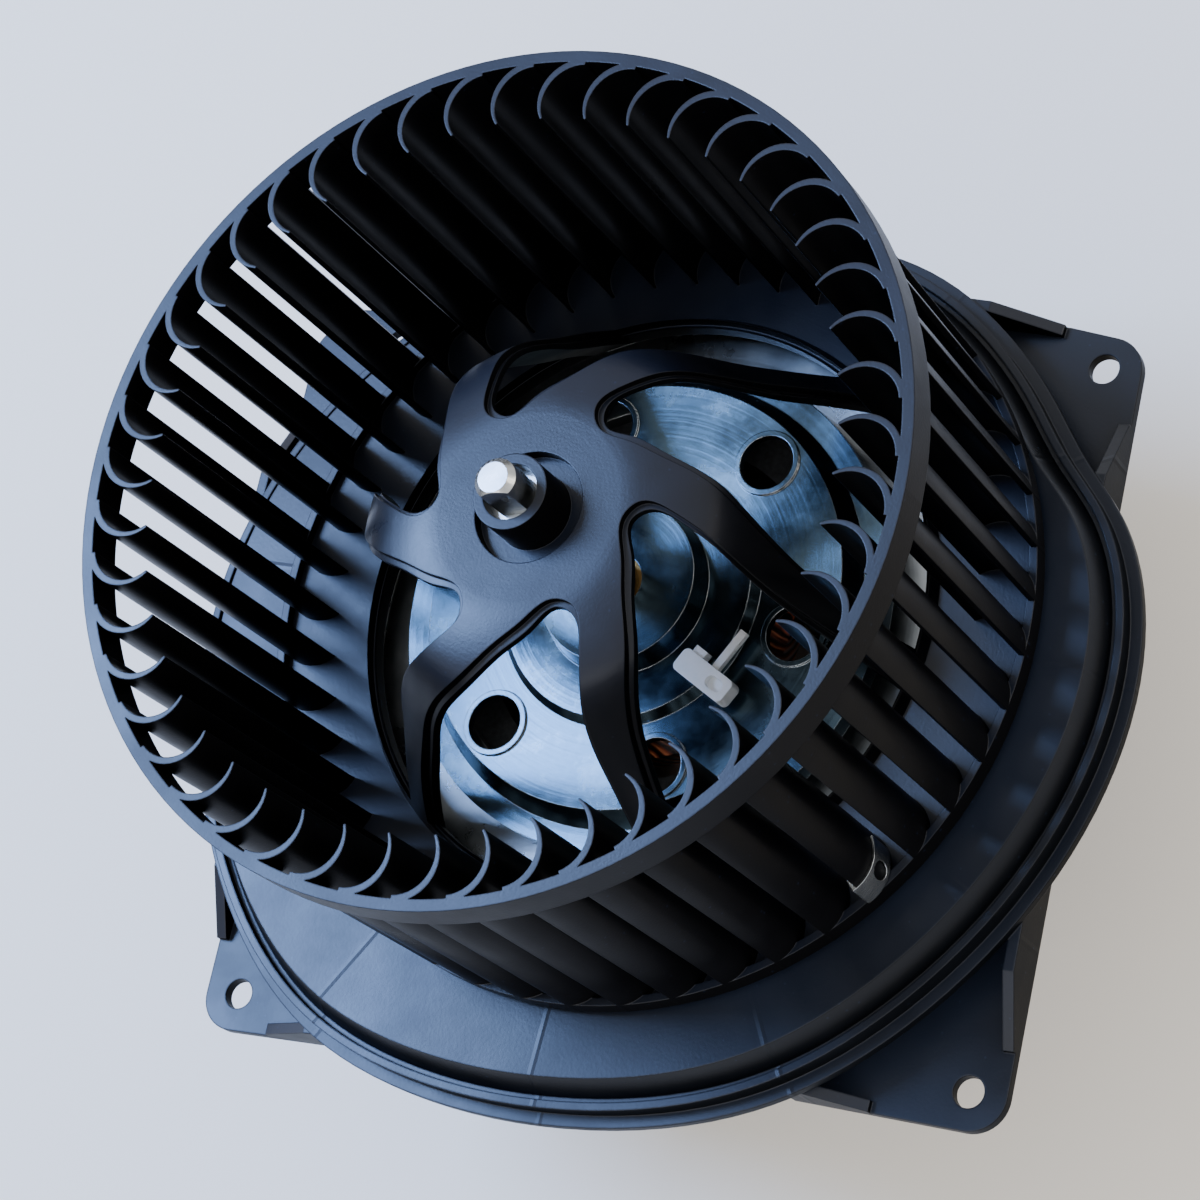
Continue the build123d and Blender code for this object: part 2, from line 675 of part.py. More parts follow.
# ---------------------------------------------------------------- field magnets
with BuildPart() as field_magnets:
    magnet = sector(magnet_inner_r, can_inner_r, -magnet_span / 2, magnet_span / 2)
    slabs(magnet, magnet_count, 45, magnet_bottom, magnet_top)
finish(field_magnets, "field_magnets")

spring_half = 45 - magnet_span / 2
with BuildPart() as magnet_springs:
    back = sector(can_inner_r - 0.7, can_inner_r, -spring_half, spring_half)
    slabs(back, magnet_count, 0, magnet_bottom + 4, magnet_top - 4)
    for side in (-1, 1):
        ends = sorted((side * spring_half, side * (spring_half - 1.1)))
        leg = sector(magnet_inner_r + 1.0, can_inner_r - 0.1, *ends)
        slabs(leg, magnet_count, 0, magnet_bottom + 4, magnet_top - 4)
finish(magnet_springs, "magnet_springs")

# ---------------------------------------------------------------- brush gear
card_bottom = card_top - card_thickness
terminal_place = polar(terminal_ring_r, terminal_turn)
with BuildPart() as brush_card:
    tube(card_r, commutator_r + 3.4, card_bottom, card_top)
    for number in range(4):
        rod(2.2, polar(card_r - 5.5, 68 + 90 * number), can_floor, card_bottom + 0.5)
        slab(sector(card_r - 4, card_r + 2, 40, 50), card_bottom - 1, card_top + 1, Mode.SUBTRACT,
             90 * number)
finish(brush_card, "brush_card")

half_w, half_h = tube_width / 2, tube_height / 2
with BuildPart() as brush_tubes:
    for number in range(4):
        outside = polygon((tube_start_r, -half_w), (tube_end_r, -half_w), (tube_end_r, half_w),
                          (tube_start_r, half_w))
        slab(outside, brush_level - half_h, brush_level + half_h, angle=90 * number)
        inside_w = half_w - tube_sheet
        inside = polygon((tube_start_r - 1, -inside_w), (tube_end_r - tube_sheet, -inside_w),
                         (tube_end_r - tube_sheet, inside_w), (tube_start_r - 1, inside_w))
        slab(inside, brush_level - half_h + tube_sheet, brush_level + half_h - tube_sheet,
             Mode.SUBTRACT, 90 * number)
finish(brush_tubes, "brush_tubes")

with BuildPart() as carbon_brushes:
    block = polygon((10, -brush_width / 2), (brush_face_r + brush_length, -brush_width / 2),
                    (brush_face_r + brush_length, brush_width / 2), (10, brush_width / 2))
    slabs(block, 4, 0, brush_level - brush_height / 2, brush_level + brush_height / 2)
    tube(brush_face_r, 0, card_top - 2, brush_level + brush_height, mode=Mode.SUBTRACT)
finish(carbon_brushes, "carbon_brushes")

spring_start = brush_face_r + brush_length + 0.3
spring_length = tube_end_r - tube_sheet - spring_start - 0.3
with BuildPart() as brush_springs:
    for number in range(4):
        place = polar(spring_start, 90 * number)
        coil = Helix(1.25, spring_length, 2.2, center=(0, 0, 0), direction=(0, 0, 1))
        with BuildSketch(Plane(origin=coil @ 0, z_dir=coil % 0)) as wire:
            Circle(0.25)
        spring = sweep(wire.sketch, path=coil, is_frenet=True, mode=Mode.PRIVATE)
        radial = Plane(origin=(shaft_x + place[0], shaft_y + place[1], brush_level),
                       x_dir=(0, 0, 1), z_dir=(*polar(1, 90 * number), 0))
        add(spring.moved(radial.location))
finish(brush_springs, "brush_springs")

with BuildPart() as suppression_chokes:
    for number in (45, 225):
        place = polar(25.0, number)
        lying = Plane(origin=(shaft_x + place[0], shaft_y + place[1], card_top + 3.3),
                      x_dir=(0, 0, 1), z_dir=(*polar(1, number + 90), 0))
        with BuildSketch(lying):
            Circle(2.4)
        extrude(amount=7.0, both=True)
        for ring in range(9):
            with BuildSketch(lying.offset(-5.4 + 1.25 * ring)):
                Circle(3.2)
            extrude(amount=1.0)
finish(suppression_chokes, "suppression_chokes")

with BuildPart() as terminals:
    for offset_along in (-3.4, 3.4):
        place = (terminal_ring_r, offset_along)
        blade = polygon((place[0] - 2.4, place[1] - 0.4), (place[0] + 2.4, place[1] - 0.4),
                        (place[0] + 2.4, place[1] + 0.4), (place[0] - 2.4, place[1] + 0.4))
        slab(blade, can_bottom - 9.0, card_bottom, angle=terminal_turn)
finish(terminals, "terminals")

with BuildPart() as lead_grommet:
    rod(7.0, terminal_place, can_bottom, can_floor)
    rod(8.8, terminal_place, can_bottom - 2.0, can_bottom)
    rod(8.8, terminal_place, can_floor, can_floor + 1.6)
    for offset_along in (-3.4, 3.4):
        slit = polygon((terminal_ring_r - 2.4, offset_along - 0.4),
                       (terminal_ring_r + 2.4, offset_along - 0.4),
                       (terminal_ring_r + 2.4, offset_along + 0.4),
                       (terminal_ring_r - 2.4, offset_along + 0.4))
        slab(slit, can_bottom - 3, can_floor + 3, Mode.SUBTRACT, terminal_turn)
finish(lead_grommet, "lead_grommet")

# ---------------------------------------------------------------- cable tie on the plate
tie_x, tie_y, tie_angle = 21.0, -16.4, -30.0    # from the shaft's axis, and its turn
head_length, head_width, head_height = 12.8, 4.8, 3.4
strap_width, strap_length = 1.6, 9.0
tie_level = plate_level + 2.0
tie_plane = Plane(origin=(shaft_x + tie_x, shaft_y + tie_y, tie_level)).rotated((0, 0, tie_angle))
with BuildPart() as cable_tie:
    with BuildSketch(tie_plane):
        RectangleRounded(head_length, head_width, 1.2)
    extrude(amount=head_height)
    # shallow oval hollow in the head's top
    with BuildSketch(tie_plane.offset(head_height)):
        with Locations((head_length / 2 - 3.4, 0)):
            SlotOverall(3.8, 2.4)
    extrude(amount=-1.2, mode=Mode.SUBTRACT)
    # pawl's end, standing out at the side
    with BuildSketch(tie_plane.offset(0.6)):
        with Locations((2.6 - head_length / 2, head_width / 2 + 0.6)):
            Rectangle(2.8, 1.6)
    extrude(amount=2.2)
    # cut end of the strap
    with BuildSketch(tie_plane.offset(0.6)):
        with Locations((0.2, head_width / 2 + strap_length / 2 - 0.4)):
            Rectangle(strap_width, strap_length)
    extrude(amount=1.2)
finish(cable_tie, "cable_tie")
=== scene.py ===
import json
import math

import bpy
from mathutils import Matrix, Vector


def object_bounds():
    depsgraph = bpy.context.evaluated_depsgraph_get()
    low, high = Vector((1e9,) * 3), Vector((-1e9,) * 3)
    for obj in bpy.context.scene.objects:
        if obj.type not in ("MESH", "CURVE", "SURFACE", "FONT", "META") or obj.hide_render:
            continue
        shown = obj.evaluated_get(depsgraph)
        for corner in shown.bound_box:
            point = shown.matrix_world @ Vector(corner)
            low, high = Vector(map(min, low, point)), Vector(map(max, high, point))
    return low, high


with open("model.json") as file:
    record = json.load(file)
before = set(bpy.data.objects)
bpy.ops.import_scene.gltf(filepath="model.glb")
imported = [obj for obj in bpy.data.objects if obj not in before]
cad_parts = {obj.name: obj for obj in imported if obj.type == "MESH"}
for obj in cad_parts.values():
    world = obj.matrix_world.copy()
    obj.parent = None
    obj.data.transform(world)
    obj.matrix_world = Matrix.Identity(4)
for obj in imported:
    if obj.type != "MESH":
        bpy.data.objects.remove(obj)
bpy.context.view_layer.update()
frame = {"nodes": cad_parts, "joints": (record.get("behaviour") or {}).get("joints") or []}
nodes = frame["nodes"]
axle = Vector(frame["joints"][0]["pos_m"])

# ------------------------------------------------------------------ mounting flange
# Injection-moulded base of the blower, black talc-filled polypropylene. It comes out of
# the mould with a fine spark-eroded grain, gate marks and flow lines, and it picks up
# light rubbing along its edges. Its upper faces get pale bluish dust together with a
# painted sheen that stands in for the cold light from above.


def srgb(code):
    """Linear RGBA of an sRGB hex colour: the sRGB curve undone for each channel."""
    levels = [int(code[i:i + 2], 16) / 255 for i in (1, 3, 5)]
    return [x / 12.92 if x <= 0.04045 else ((x + 0.055) / 1.055) ** 2.4 for x in levels] + [1.0]


def add_node(tree, kind, settings=None, links=None):
    """A shader node with its properties, its socket values and its incoming links."""
    node = tree.nodes.new("ShaderNode" + kind)
    for key, value in (settings or {}).items():
        if isinstance(key, str) and hasattr(node, key):
            setattr(node, key, value)
        else:
            node.inputs[key].default_value = value
    for key, source in (links or {}).items():
        tree.links.new(source, node.inputs[key])
    return node


def start_material(name):
    """An empty node material with its object coordinates."""
    made = bpy.data.materials.new(name)
    made.use_nodes = True
    made.node_tree.nodes.clear()
    place = add_node(made.node_tree, "TexCoord")
    return made, made.node_tree, place.outputs["Object"]


def close_material(tree, settings, links):
    """The surface shader and the output at the end of a material."""
    shader = add_node(tree, "BsdfPrincipled", settings, links)
    add_node(tree, "OutputMaterial", None, {"Surface": shader.outputs["BSDF"]})


def ramp(tree, factor, stops):
    """Colour ramp through (position, colour) stops."""
    node = add_node(tree, "ValToRGB", None, {"Fac": factor})
    band = node.color_ramp
    band.elements[0].position, band.elements[0].color = stops[0]
    band.elements[1].position, band.elements[1].color = stops[-1]
    for position, colour in stops[1:-1]:
        band.elements.new(position).color = colour
    return node.outputs["Color"]


def soft_edges(tree, radius_mm):
    """Mask of outside edges, where the rounded normal leaves the face's own, and that normal."""
    rounded = add_node(tree, "Bevel", {"samples": 6, "Radius": radius_mm / 1000})
    own = add_node(tree, "NewGeometry")
    same = add_node(tree, "VectorMath", {"operation": "DOT_PRODUCT"},
                    {0: rounded.outputs["Normal"], 1: own.outputs["Normal"]})
    edge = add_node(tree, "MapRange", {"From Min": 0.995, "From Max": 0.80},
                    {"Value": same.outputs["Value"]})
    return edge.outputs["Result"], rounded.outputs["Normal"]


def ring_marks(tree, place, spacing_mm):
    """Fine marks around the axle: noise of the distance from it, one wave per spacing."""
    centred = add_node(tree, "VectorMath", {"operation": "SUBTRACT", 1: tuple(axle)}, {0: place})
    flat = add_node(tree, "VectorMath", {"operation": "MULTIPLY", 1: (1, 1, 0.3)},
                    {0: centred.outputs["Vector"]})
    reach = add_node(tree, "VectorMath", {"operation": "LENGTH"}, {0: flat.outputs["Vector"]})
    count = add_node(tree, "Math", {"operation": "MULTIPLY", 1: 1000.0 / spacing_mm},
                     {0: reach.outputs["Value"]})
    return add_node(tree, "TexNoise", {"noise_dimensions": "1D", "Scale": 1.0, "Detail": 3.0},
                    {"W": count.outputs["Value"]}).outputs["Fac"]


def spoke_marks(tree, place, count, start_deg, width_mm):
    """Straight marks out from the axle, evenly spaced: 1 on a mark and 0 away from it.

    The angle about the axle is folded into one spacing, and the distance from the fold's
    middle is the radius times that angle.
    """
    centred = add_node(tree, "VectorMath", {"operation": "SUBTRACT", 1: tuple(axle)}, {0: place})
    parts = add_node(tree, "SeparateXYZ", None, {"Vector": centred.outputs["Vector"]})
    angle = add_node(tree, "Math", {"operation": "ARCTAN2"},
                     {0: parts.outputs["Y"], 1: parts.outputs["X"]})
    step = 2 * math.pi / count
    moved = add_node(tree, "Math", {"operation": "SUBTRACT", 1: math.radians(start_deg)},
                     {0: angle.outputs["Value"]})
    folded = add_node(tree, "Math", {"operation": "PINGPONG", 1: step / 2},
                      {0: moved.outputs["Value"]})
    flat = add_node(tree, "VectorMath", {"operation": "MULTIPLY", 1: (1, 1, 0)},
                    {0: centred.outputs["Vector"]})
    reach = add_node(tree, "VectorMath", {"operation": "LENGTH"}, {0: flat.outputs["Vector"]})
    away = add_node(tree, "Math", {"operation": "MULTIPLY"},
                    {0: folded.outputs["Value"], 1: reach.outputs["Value"]})
    mark = add_node(tree, "MapRange", {"From Min": width_mm / 1000, "From Max": 0.0},
                    {"Value": away.outputs["Value"]})
    return mark.outputs["Result"]


def moulded_black(name, deep, pale, dust_and_sheen, rough, grain_mm, edge_mm, marks, depth):
    """Black moulded plastic: grain, slow colour drift, dust and a painted sheen on upper faces, rubbed edges.

    The marks are a height made by a function of the tree and its coordinates, and the depth
    is how strongly they show.
    """
    made, tree, place = start_material(name)
    edge, rounded = soft_edges(tree, edge_mm)
    drift = add_node(tree, "TexNoise", {"Scale": 38.0, "Detail": 5.0, "Roughness": 0.6},
                     {"Vector": place})
    smear = add_node(tree, "TexNoise", {"Scale": 9.0, "Detail": 3.0, "Distortion": 1.5},
                     {"Vector": place})
    grain = add_node(tree, "TexNoise", {"Scale": 1000.0 / grain_mm / 2, "Detail": 2.0},
                     {"Vector": place})
    speck = add_node(tree, "TexVoronoi", {"Scale": 330.0, "Randomness": 1.0}, {"Vector": place})
    base = ramp(tree, drift.outputs["Fac"], [(0.30, srgb(deep)), (0.72, srgb(pale))])
    # dust and a painted bluish sheen lie on what faces up, thinned by the slow smear pattern
    own = add_node(tree, "NewGeometry")
    parts = add_node(tree, "SeparateXYZ", None, {"Vector": own.outputs["Normal"]})
    upward = add_node(tree, "MapRange", {"From Min": 0.35, "From Max": 1.0},
                      {"Value": parts.outputs["Z"]})
    patchy = add_node(tree, "MapRange", {"From Min": 0.30, "From Max": 0.72, "To Min": 0.05,
                                         "To Max": 0.26}, {"Value": smear.outputs["Fac"]})
    dust_and_sheen_veil = add_node(tree, "Math", {"operation": "MULTIPLY"},
                    {0: upward.outputs["Result"], 1: patchy.outputs["Result"]})
    dots = add_node(tree, "MapRange", {"From Min": 0.10, "From Max": 0.05, "To Max": 0.35},
                    {"Value": speck.outputs["Distance"]})
    dotted = add_node(tree, "Math", {"operation": "MULTIPLY"},
                      {0: dots.outputs["Result"], 1: smear.outputs["Fac"]})
    # the bluish colour mixed in here is partly dust and partly a painted sheen of the light from above
    dust_and_sheen_mixed = add_node(tree, "MixRGB", {"Color2": srgb(dust_and_sheen)},
                      {"Fac": dust_and_sheen_veil.outputs["Value"], "Color1": base})
    spotted = add_node(tree, "MixRGB", {"Color2": srgb(dust_and_sheen)},
                       {"Fac": dotted.outputs["Value"], "Color1": dust_and_sheen_mixed.outputs["Color"]})
    worn = add_node(tree, "Math", {"operation": "MULTIPLY", 1: 0.35}, {0: edge})
    rubbed = add_node(tree, "MixRGB", {"Color2": srgb(pale)},
                      {"Fac": worn.outputs["Value"], "Color1": spotted.outputs["Color"]})
    rougher = add_node(tree, "MapRange", {"From Min": 0.3, "From Max": 0.7, "To Min": rough - 0.07,
                                          "To Max": rough + 0.10}, {"Value": drift.outputs["Fac"]})
    skin = add_node(tree, "Bump", {"Strength": 0.30, "Distance": 0.00006},
                    {"Height": grain.outputs["Fac"], "Normal": rounded})
    wave = add_node(tree, "Bump", {"Strength": 0.25, "Distance": 0.0006},
                    {"Height": smear.outputs["Fac"], "Normal": skin.outputs["Normal"]})
    marked = add_node(tree, "Bump", {"Strength": depth, "Distance": 0.00012},
                      {"Height": marks(tree, place), "Normal": wave.outputs["Normal"]})
    # faces that look up are given more gloss than the side walls, which would mirror the floor
    glossy = add_node(tree, "MapRange", {"From Min": 0.0, "From Max": 0.9, "To Min": 0.03,
                                         "To Max": 0.40}, {"Value": parts.outputs["Z"]})
    close_material(tree, {"IOR": 1.49},
                   {"Base Color": rubbed.outputs["Color"], "Roughness": rougher.outputs["Result"],
                    "Specular IOR Level": glossy.outputs["Result"],
                    "Normal": marked.outputs["Normal"]})
    return made


def finish_node(name, made):
    """Gives a carried-over node its finish."""
    mesh = nodes[name].data
    mesh.materials.clear()
    mesh.materials.append(made)


# its bluish third colour is dust and also a painted sheen on faces that look up
finish_node("mounting_flange", moulded_black(
    "polypropylene_moulded_black", "#060708", "#0c0e12", "#3b4a68", 0.34, 0.35, 0.5,
    lambda tree, place: spoke_marks(tree, place, 12, 27.0, 0.7), 0.6))

# ------------------------------------------------------------------ motor gasket
# Ring die-cut from black cellular rubber, squeezed under the motor's mounting ring. The
# open cells leave its edge dull and pitted.


def cellular_rubber():
    """Dull black rubber with cells about 0.6 mm across."""
    made, tree, place = start_material("cellular_rubber_black")
    cells = add_node(tree, "TexVoronoi", {"Scale": 1600.0}, {"Vector": place})
    tone = ramp(tree, cells.outputs["Distance"], [(0.0, srgb("#0b0b0b")), (0.6, srgb("#222222"))])
    pits = add_node(tree, "Bump", {"Strength": 0.6, "Distance": 0.0002},
                    {"Height": cells.outputs["Distance"]})
    close_material(tree, {"Roughness": 0.85, "IOR": 1.52},
                   {"Base Color": tone, "Normal": pits.outputs["Normal"]})
    return made


rubber = cellular_rubber()
finish_node("motor_gasket", rubber)

# ------------------------------------------------------------------ motor can, ring and screws
# Deep-drawn steel can, electro-galvanised: satin blue-grey zinc with drawing lines along
# its side. The mounting ring with three ears is stamped from the same coated sheet and
# spot-welded on; three plated pan-head screws hold it to the flange.


def zinc_plate(name, light, dark, glint, rough, line_mm, around, edge_mm=0.4):
    """Zinc-plated steel: fine lines along or around the axle, cloudy plating, scuffs, a painted near-white
    highlight on edges.
    """
    made, tree, place = start_material(name)
    edge, rounded = soft_edges(tree, edge_mm)
    centred = add_node(tree, "VectorMath", {"operation": "SUBTRACT", 1: tuple(axle)}, {0: place})
    cloud = add_node(tree, "TexNoise", {"Scale": 55.0, "Detail": 6.0, "Roughness": 0.65},
                     {"Vector": centred.outputs["Vector"]})
    patch = add_node(tree, "TexNoise", {"Scale": 14.0, "Detail": 2.0, "Distortion": 0.8},
                     {"Vector": centred.outputs["Vector"]})
    if around:
        flat = add_node(tree, "VectorMath", {"operation": "MULTIPLY", 1: (1, 1, 0.15)},
                        {0: centred.outputs["Vector"]})
        reach = add_node(tree, "VectorMath", {"operation": "LENGTH"}, {0: flat.outputs["Vector"]})
        lines = add_node(tree, "TexNoise", {"noise_dimensions": "1D", "Scale": 1.0, "Detail": 4.0})
        count = add_node(tree, "Math", {"operation": "MULTIPLY", 1: 1000.0 / line_mm},
                         {0: reach.outputs["Value"]})
        tree.links.new(count.outputs["Value"], lines.inputs["W"])
    else:
        spread = (1000 / line_mm, 1000 / line_mm, 12)
        long = add_node(tree, "VectorMath", {"operation": "MULTIPLY", 1: spread},
                        {0: centred.outputs["Vector"]})
        lines = add_node(tree, "TexNoise", {"Scale": 1.0, "Detail": 3.0},
                         {"Vector": long.outputs["Vector"]})
    tone = ramp(tree, cloud.outputs["Fac"],
                [(0.28, srgb(dark)), (0.55, srgb(light)), (0.80, srgb(glint))])
    stain = ramp(tree, patch.outputs["Fac"], [(0.35, srgb("#ffffff")), (0.75, srgb("#b9c0c4"))])
    toned = add_node(tree, "MixRGB", {"blend_type": "MULTIPLY", "Fac": 0.8},
                     {"Color1": tone, "Color2": stain})
    # edges are painted near-white: a painted highlight along rims and hole edges
    bright = add_node(tree, "MixRGB", {"Color2": srgb("#e8eaea")},
                      {"Fac": edge, "Color1": toned.outputs["Color"]})
    smooth = add_node(tree, "MapRange", {"From Min": 0.25, "From Max": 0.75, "To Min": rough - 0.08,
                                         "To Max": rough + 0.14}, {"Value": cloud.outputs["Fac"]})
    drawn = add_node(tree, "Bump", {"Strength": 0.25, "Distance": 0.00005},
                     {"Height": lines.outputs["Fac"], "Normal": rounded})
    dents = add_node(tree, "Bump", {"Strength": 0.35, "Distance": 0.0005},
                     {"Height": patch.outputs["Fac"], "Normal": drawn.outputs["Normal"]})
    close_material(tree, {"Metallic": 1.0},
                   {"Base Color": bright.outputs["Color"], "Roughness": smooth.outputs["Result"],
                    "Normal": dents.outputs["Normal"]})
    return made


finish_node("motor_can", zinc_plate(
    "zinc_drawn_steel", "#a9aeb0", "#8b9194", "#c8cccc", 0.33, 0.35, False))
finish_node("motor_ring", zinc_plate(
    "zinc_stamped_sheet", "#b8bdbf", "#989ea1", "#dfe3e2", 0.28, 0.6, True))
finish_node("motor_screws", zinc_plate(
    "zinc_plated_screws", "#c3c7c7", "#a2a7a8", "#dfe3e2", 0.24, 0.2, True, 0.2))

# ------------------------------------------------------------------ end plate
# Drive-end plate pressed from bright zinc-plated sheet and rolled over the can's rim. The
# press leaves rings around the bearing pocket; the plating is bright with a cold cast.
finish_node("end_plate", zinc_plate(
    "zinc_pressed_bright", "#5d727e", "#35434c", "#98b2be", 0.20, 0.9, True, 0.3))

# ------------------------------------------------------------------ bearings
# Self-aligning bushes of oil-soaked sintered bronze, each in a felt ring that feeds it,
# held by a ring of spring steel.


def sintered_bronze():
    """Pressed bronze powder, grains about 0.25 mm as drawn, dark where oil sits in the pores."""
    made, tree, place = start_material("bronze_sintered")
    grains = add_node(tree, "TexVoronoi", {"Scale": 4000.0}, {"Vector": place})
    oil = add_node(tree, "TexNoise", {"Scale": 260.0, "Detail": 3.0}, {"Vector": place})
    tone = ramp(tree, oil.outputs["Fac"], [(0.35, srgb("#6d4f2c")), (0.65, srgb("#a8834c"))])
    pits = add_node(tree, "Bump", {"Strength": 0.5, "Distance": 0.0001},
                    {"Height": grains.outputs["Distance"]})
    close_material(tree, {"Metallic": 1.0, "Roughness": 0.45},
                   {"Base Color": tone, "Normal": pits.outputs["Normal"]})
    return made


def oiled_felt():
    """Matted wool, fibres about 0.3 mm as drawn, brown with oil."""
    made, tree, place = start_material("wool_felt_oiled")
    matted = add_node(tree, "TexNoise", {"Scale": 1500.0, "Detail": 6.0, "Distortion": 2.0},
                      {"Vector": place})
    tone = ramp(tree, matted.outputs["Fac"], [(0.3, srgb("#5a4428")), (0.7, srgb("#9a8258"))])
    nap = add_node(tree, "Bump", {"Strength": 0.9, "Distance": 0.0004}, {"Height": matted.outputs["Fac"]})
    close_material(tree, {"Roughness": 0.9, "Sheen Weight": 0.4},
                   {"Base Color": tone, "Normal": nap.outputs["Normal"]})
    return made


def rolled_spring_steel(name, light, dark):
    """Cold-rolled spring steel: bright, with rolling lines 0.2 mm apart, a blue-grey cast and a painted
    near-white highlight on edges.
    """
    made, tree, place = start_material(name)
    edge, rounded = soft_edges(tree, 0.15)
    along = add_node(tree, "VectorMath", {"operation": "MULTIPLY", 1: (400, 400, 5000)}, {0: place})
    lines = add_node(tree, "TexNoise", {"Scale": 1.0, "Detail": 3.0}, {"Vector": along.outputs["Vector"]})
    tone = ramp(tree, lines.outputs["Fac"], [(0.3, srgb(dark)), (0.7, srgb(light))])
    # edges are painted near-white: a painted highlight along the strip's edges
    bright = add_node(tree, "MixRGB", {"Color2": srgb("#eceeee")}, {"Fac": edge, "Color1": tone})
    relief = add_node(tree, "Bump", {"Strength": 0.3, "Distance": 0.00004},
                      {"Height": lines.outputs["Fac"], "Normal": rounded})
    close_material(tree, {"Metallic": 1.0, "Roughness": 0.26},
                   {"Base Color": bright.outputs["Color"], "Normal": relief.outputs["Normal"]})
    return made


bronze = sintered_bronze()
spring_steel = rolled_spring_steel("spring_steel_rolled", "#c4c8ca", "#8f9598")
finish_node("front_bearing", bronze)
finish_node("rear_bearing", bronze)
finish_node("oil_felts", oiled_felt())
finish_node("bearing_retainers", spring_steel)

# ------------------------------------------------------------------ field magnets
# Four arcs of fired strontium ferrite, dark grey and chalky, ground only on their curved
# faces. Springs of bent strip press them apart against the can.


def fired_ferrite():
    """Fired ferrite: charcoal grey, chalky, with grinding lines and small chips."""
    made, tree, place = start_material("ferrite_fired")
    powder = add_node(tree, "TexNoise", {"Scale": 900.0, "Detail": 5.0}, {"Vector": place})
    chips = add_node(tree, "TexVoronoi", {"Scale": 170.0}, {"Vector": place})
    tone = ramp(tree, powder.outputs["Fac"], [(0.3, srgb("#242526")), (0.7, srgb("#3d3f41"))])
    chipped = add_node(tree, "MapRange", {"From Min": 0.12, "From Max": 0.0, "To Max": 0.5},
                       {"Value": chips.outputs["Distance"]})
    mixed = add_node(tree, "MixRGB", {"Color2": srgb("#101112")},
                     {"Fac": chipped.outputs["Result"], "Color1": tone})
    relief = add_node(tree, "Bump", {"Strength": 0.4, "Distance": 0.0001},
                      {"Height": powder.outputs["Fac"]})
    close_material(tree, {"Roughness": 0.72, "IOR": 1.6},
                   {"Base Color": mixed.outputs["Color"], "Normal": relief.outputs["Normal"]})
    return made


ferrite = fired_ferrite()
finish_node("field_magnets", ferrite)
finish_node("magnet_springs", spring_steel)

# ------------------------------------------------------------------ brush gear
# Brown phenolic card moulded round the commutator. It carries four folded brass tubes with
# their carbon brushes and springs, two chokes wound on ferrite, and the two tinned blades
# that come out through the rubber grommet in the can's floor.


def phenolic_brown():
    """Moulded phenolic: dark brown with pale filler flecks about 0.5 mm long."""
    made, tree, place = start_material("phenolic_moulded_brown")
    flecks = add_node(tree, "TexNoise", {"Scale": 1400.0, "Detail": 3.0, "Distortion": 1.0},
                      {"Vector": place})
    tone = ramp(tree, flecks.outputs["Fac"], [(0.40, srgb("#3a2216")), (0.66, srgb("#5a3a26")),
                                              (0.78, srgb("#8a6a4a"))])
    relief = add_node(tree, "Bump", {"Strength": 0.2, "Distance": 0.00005}, {"Height": flecks.outputs["Fac"]})
    close_material(tree, {"Roughness": 0.42, "IOR": 1.6},
                   {"Base Color": tone, "Normal": relief.outputs["Normal"]})
    return made


def stamped_brass(name, light, dark, rough):
    """Stamped or turned copper alloy with faint tool lines and a tarnished cloud."""
    made, tree, place = start_material(name)
    tarnish = add_node(tree, "TexNoise", {"Scale": 120.0, "Detail": 5.0}, {"Vector": place})
    lines = add_node(tree, "TexNoise", {"Scale": 2500.0, "Detail": 1.0}, {"Vector": place})
    tone = ramp(tree, tarnish.outputs["Fac"], [(0.3, srgb(dark)), (0.7, srgb(light))])
    relief = add_node(tree, "Bump", {"Strength": 0.2, "Distance": 0.00004}, {"Height": lines.outputs["Fac"]})
    close_material(tree, {"Metallic": 1.0, "Roughness": rough},
                   {"Base Color": tone, "Normal": relief.outputs["Normal"]})
    return made


def pressed_carbon():
    """Pressed copper-graphite: near black with glinting copper specks about 0.3 mm across."""
    made, tree, place = start_material("carbon_copper_graphite")
    specks = add_node(tree, "TexVoronoi", {"Scale": 3000.0}, {"Vector": place})
    tone = ramp(tree, specks.outputs["Distance"], [(0.12, srgb("#8a5a40")), (0.22, srgb("#1b1a1a"))])
    close_material(tree, {"Roughness": 0.5, "Metallic": 0.35}, {"Base Color": tone})
    return made


phenolic = phenolic_brown()
brass = stamped_brass("brass_stamped", "#cfae62", "#a07f3c", 0.32)
finish_node("brush_card", phenolic)
finish_node("brush_tubes", brass)
finish_node("carbon_brushes", pressed_carbon())
finish_node("brush_springs", spring_steel)
finish_node("suppression_chokes", ferrite)
finish_node("terminals", brass)
finish_node("lead_grommet", rubber)

# ------------------------------------------------------------------ armature
# Stack of varnished steel laminations on the shaft. Enamelled copper wire fills its twelve
# slots over pressed paper and ends at the hooks of a copper commutator.


def lamination_stack():
    """Varnished laminations 0.5 mm thick, stacked along the axle."""
    made, tree, place = start_material("steel_laminations_varnished")
    sheets = add_node(tree, "TexWave", {"wave_type": "BANDS", "bands_direction": "Z", "wave_profile": "SAW",
                                        "Scale": 318.0, "Distortion": 0.0}, {"Vector": place})
    tone = ramp(tree, sheets.outputs["Fac"], [(0.0, srgb("#2c2a29")), (0.25, srgb("#6b6763")),
                                              (1.0, srgb("#7d7975"))])
    relief = add_node(tree, "Bump", {"Strength": 0.5, "Distance": 0.0001}, {"Height": sheets.outputs["Fac"]})
    close_material(tree, {"Metallic": 1.0, "Roughness": 0.38, "Coat Weight": 0.3},
                   {"Base Color": tone, "Normal": relief.outputs["Normal"]})
    return made


